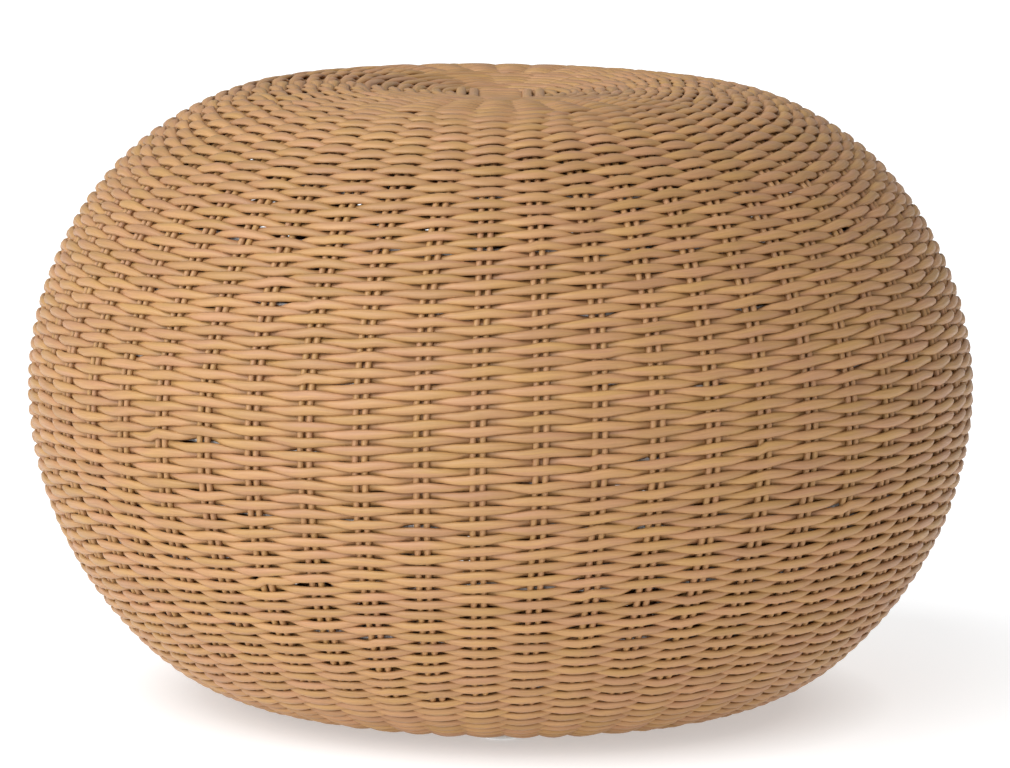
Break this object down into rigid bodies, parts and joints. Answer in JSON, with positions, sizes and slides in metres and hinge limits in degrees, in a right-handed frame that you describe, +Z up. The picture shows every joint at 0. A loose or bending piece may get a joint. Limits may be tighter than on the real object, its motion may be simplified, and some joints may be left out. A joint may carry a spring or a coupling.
{
  "type": "outdoor ottoman footstool",
  "caption": "Round woven wicker ottoman in honey tan, with an aluminium frame inside and low plastic glides.",
  "frame": {"origin": "on the floor, under the middle of the ottoman", "axes": "+Z up along the axis of the round body, front of the picture towards -Y"},
  "size_m": [0.6074, 0.6074, 0.3995],
  "materials": {
    "woven_wicker": "satin all-weather wicker strand",
    "frame_metal": "pale powder-coated bar",
    "glide_plastic": "milky translucent plastic",
    "screw_steel": "plain zinc-plated steel"
  },
  "bodies": {
    "root": {"weave_hub": "woven_wicker", "weave_crown": "woven_wicker", "weave_shoulder": "woven_wicker", "weave_side_upper": "woven_wicker", "weave_side_middle": "woven_wicker", "weave_side_lower": "woven_wicker", "weave_base_edge": "woven_wicker", "weave_base": "woven_wicker", "weave_base_hub": "woven_wicker", "frame_base_ring": "frame_metal", "frame_hoop_1": "frame_metal", "frame_hoop_2": "frame_metal", "frame_hoop_3": "frame_metal", "frame_hoop_4": "frame_metal", "frame_hoop_5": "frame_metal", "frame_hoop_6": "frame_metal", "frame_hoop_7": "frame_metal", "frame_hoop_8": "frame_metal", "frame_hoop_9": "frame_metal", "frame_hoop_10": "frame_metal", "frame_hoop_11": "frame_metal", "frame_hub_plate": "frame_metal", "frame_rib_1": "frame_metal", "frame_rib_2": "frame_metal", "frame_rib_3": "frame_metal", "frame_rib_4": "frame_metal", "frame_rib_5": "frame_metal", "frame_rib_6": "frame_metal", "frame_rib_7": "frame_metal", "frame_rib_8": "frame_metal", "glide_1": "glide_plastic", "glide_2": "glide_plastic", "glide_3": "glide_plastic", "glide_4": "glide_plastic", "glide_screw_1": "screw_steel", "glide_screw_2": "screw_steel", "glide_screw_3": "screw_steel", "glide_screw_4": "screw_steel"}
  },
  "joints": []
}
